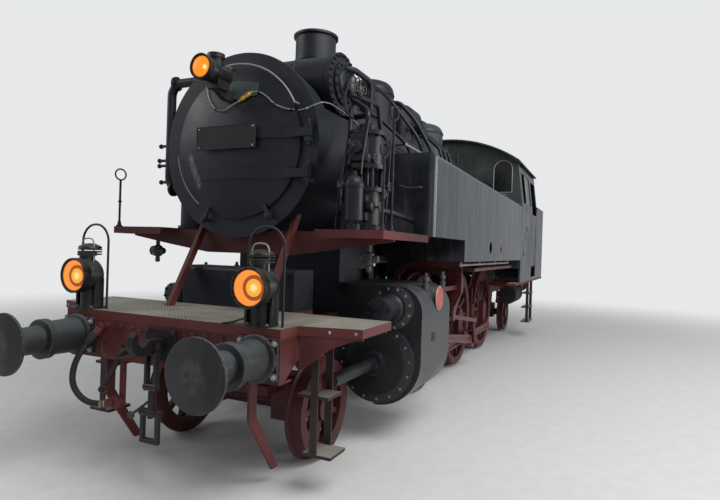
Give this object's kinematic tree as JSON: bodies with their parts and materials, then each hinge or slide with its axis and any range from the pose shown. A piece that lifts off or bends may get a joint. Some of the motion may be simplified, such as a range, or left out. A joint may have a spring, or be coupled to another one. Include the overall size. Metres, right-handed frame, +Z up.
{
  "type": "steam locomotive",
  "caption": "Side-tank steam locomotive with spoked wheels, coupling and connecting rods, two steered trucks, opening smokebox door, cab doors and filler lids",
  "frame": {"origin": "middle of the length and of the wheelbase, on the centre line, at the lowest point of the wheel flanges", "axes": "+X forward, +Y to the engine's left, +Z up"},
  "size_m": [12.5, 3, 4.17],
  "materials": {
    "black_paint": "semi-gloss blue-black paint with dust",
    "roof_paint": "matt dark grey roof paint",
    "frame_red": "dull brownish red paint",
    "platform_plate": "tan-grey worn chequered plate",
    "casing_grey": "grey satin cylinder cladding",
    "bright_steel": "oiled bright steel",
    "buffer_grey": "dark grey worn casting",
    "undergear_black": "dull black paint",
    "lamp_black": "black lamp housing",
    "hose_rubber": "black rubber"
  },
  "bodies": {
    "engine": {"air_pump": "black_paint", "air_reservoirs": "undergear_black", "boiler": "black_paint", "brake_gear": "frame_red", "bunker": "black_paint", "cab_back_wall": "black_paint", "cab_floor": "undergear_black", "cab_front_wall": "black_paint", "cab_roof": "roof_paint", "cab_side_left": "black_paint", "cab_side_right": "black_paint", "chimney": "black_paint", "cylinder_left": "casing_grey", "cylinder_right": "casing_grey", "exhaust_pipe": "black_paint", "feed_pump": "black_paint", "feedwater_heater": "black_paint", "footboards_and_steps": "platform_plate", "front_beam": "frame_red", "front_brake_hose": "hose_rubber", "front_buffers": "buffer_grey", "front_lamps": "lamp_black", "front_platform": "platform_plate", "main_frame": "frame_red", "rear_beam": "frame_red", "rear_brake_hose": "hose_rubber", "rear_buffers": "buffer_grey", "rear_dome": "black_paint", "rear_lamps": "lamp_black", "running_boards": "frame_red", "sand_dome": "black_paint", "side_tank_left": "black_paint", "side_tank_right": "black_paint", "smokebox": "black_paint", "smokebox_saddle": "black_paint", "steam_dome": "black_paint", "valve_gear_left": "bright_steel", "valve_gear_right": "bright_steel"},
    "driver_main": {"driver_main": "frame_red"},
    "driver_front": {"driver_front": "frame_red"},
    "driver_rear": {"driver_rear": "frame_red"},
    "coupling_rod_left": {"coupling_rod_left": "bright_steel"},
    "coupling_rod_right": {"coupling_rod_right": "bright_steel"},
    "crosshead_left": {"crosshead_left": "bright_steel"},
    "crosshead_right": {"crosshead_right": "bright_steel"},
    "connecting_rod_left": {"connecting_rod_left": "bright_steel"},
    "connecting_rod_right": {"connecting_rod_right": "bright_steel"},
    "lead_truck": {"lead_truck": "frame_red"},
    "lead_wheelset": {"lead_wheelset": "frame_red"},
    "trail_truck": {"trail_truck": "frame_red"},
    "trail_wheelset": {"trail_wheelset": "frame_red"},
    "smokebox_door": {"smokebox_door": "black_paint", "top_lamp": "lamp_black"},
    "cab_door_left": {"cab_door_left": "black_paint"},
    "cab_door_right": {"cab_door_right": "black_paint"},
    "filler_lid_left": {"filler_lid_left": "black_paint"},
    "filler_lid_right": {"filler_lid_right": "black_paint"},
    "front_coupling": {"front_screw_coupling": "buffer_grey"},
    "rear_coupling": {"rear_screw_coupling": "buffer_grey"}
  },
  "joints": [
    {"name": "main_axle_spin", "type": "hinge", "parent": "engine", "child": "driver_main", "pos_m": [0, 0, 0.778], "axis": [0, 1, 0], "continuous": true},
    {"name": "front_axle_spin", "type": "hinge", "parent": "engine", "child": "driver_front", "pos_m": [1.85, 0, 0.778], "axis": [0, 1, 0], "continuous": true},
    {"name": "rear_axle_spin", "type": "hinge", "parent": "engine", "child": "driver_rear", "pos_m": [-1.85, 0, 0.778], "axis": [0, 1, 0], "continuous": true},
    {"name": "coupling_rod_left_turn", "type": "hinge", "parent": "driver_main", "child": "coupling_rod_left", "pos_m": [0, 0.905, 0.448], "axis": [0, 1, 0], "continuous": true},
    {"name": "coupling_rod_right_turn", "type": "hinge", "parent": "driver_main", "child": "coupling_rod_right", "pos_m": [-0.33, -0.905, 0.778], "axis": [0, 1, 0], "continuous": true},
    {"name": "crosshead_left_slide", "type": "slide", "parent": "engine", "child": "crosshead_left", "axis": [1, 0, 0], "range_m": [-0.3062, 0.3538]},
    {"name": "crosshead_right_slide", "type": "slide", "parent": "engine", "child": "crosshead_right", "axis": [1, 0, 0], "range_m": [0, 0.66]},
    {"name": "connecting_rod_left_swing", "type": "hinge", "parent": "crosshead_left", "child": "connecting_rod_left", "pos_m": [2.2762, 1.04, 0.778], "axis": [0, 1, 0], "range_deg": [0, 16.5]},
    {"name": "connecting_rod_right_swing", "type": "hinge", "parent": "crosshead_right", "child": "connecting_rod_right", "pos_m": [1.97, -1.04, 0.778], "axis": [0, 1, 0], "range_deg": [-8.25, 8.25]},
    {"name": "lead_truck_turn", "type": "hinge", "parent": "engine", "child": "lead_truck", "pos_m": [3.05, 0, 0.608], "axis": [0, 0, 1], "range_deg": [-3, 3]},
    {"name": "lead_axle_spin", "type": "hinge", "parent": "lead_truck", "child": "lead_wheelset", "pos_m": [4.5, 0, 0.453], "axis": [0, 1, 0], "continuous": true},
    {"name": "trail_truck_turn", "type": "hinge", "parent": "engine", "child": "trail_truck", "pos_m": [-3.05, 0, 0.608], "axis": [0, 0, 1], "range_deg": [-3, 3]},
    {"name": "trail_axle_spin", "type": "hinge", "parent": "trail_truck", "child": "trail_wheelset", "pos_m": [-4.5, 0, 0.453], "axis": [0, 1, 0], "continuous": true},
    {"name": "smokebox_door_hinge", "type": "hinge", "parent": "engine", "child": "smokebox_door", "pos_m": [4.815, 0.74, 2.621], "axis": [0, 0, 1], "range_deg": [0, 120]},
    {"name": "cab_door_left_hinge", "type": "hinge", "parent": "engine", "child": "cab_door_left", "pos_m": [-4.118, 1.454, 2.1], "axis": [0, 0, 1], "range_deg": [-88, 0]},
    {"name": "cab_door_right_hinge", "type": "hinge", "parent": "engine", "child": "cab_door_right", "pos_m": [-4.118, -1.454, 2.1], "axis": [0, 0, 1], "range_deg": [0, 88]},
    {"name": "filler_lid_left_hinge", "type": "hinge", "parent": "engine", "child": "filler_lid_left", "pos_m": [-1.162, 1.175, 2.859], "axis": [0, 1, 0], "range_deg": [-105, 0]},
    {"name": "filler_lid_right_hinge", "type": "hinge", "parent": "engine", "child": "filler_lid_right", "pos_m": [-1.162, -1.175, 2.859], "axis": [0, 1, 0], "range_deg": [-105, 0]},
    {"name": "front_coupling_swing", "type": "hinge", "parent": "engine", "child": "front_coupling", "pos_m": [5.69, 0, 1.07], "axis": [0, 1, 0], "range_deg": [-35, 0]},
    {"name": "rear_coupling_swing", "type": "hinge", "parent": "engine", "child": "rear_coupling", "pos_m": [-5.69, 0, 1.07], "axis": [0, 1, 0], "range_deg": [0, 35]}
  ],
  "couplings": [
    {"joint": "front_axle_spin", "follows": "main_axle_spin", "ratio": 1},
    {"joint": "rear_axle_spin", "follows": "main_axle_spin", "ratio": 1},
    {"joint": "coupling_rod_left_turn", "follows": "main_axle_spin", "ratio": -1},
    {"joint": "coupling_rod_right_turn", "follows": "main_axle_spin", "ratio": -1}
  ]
}
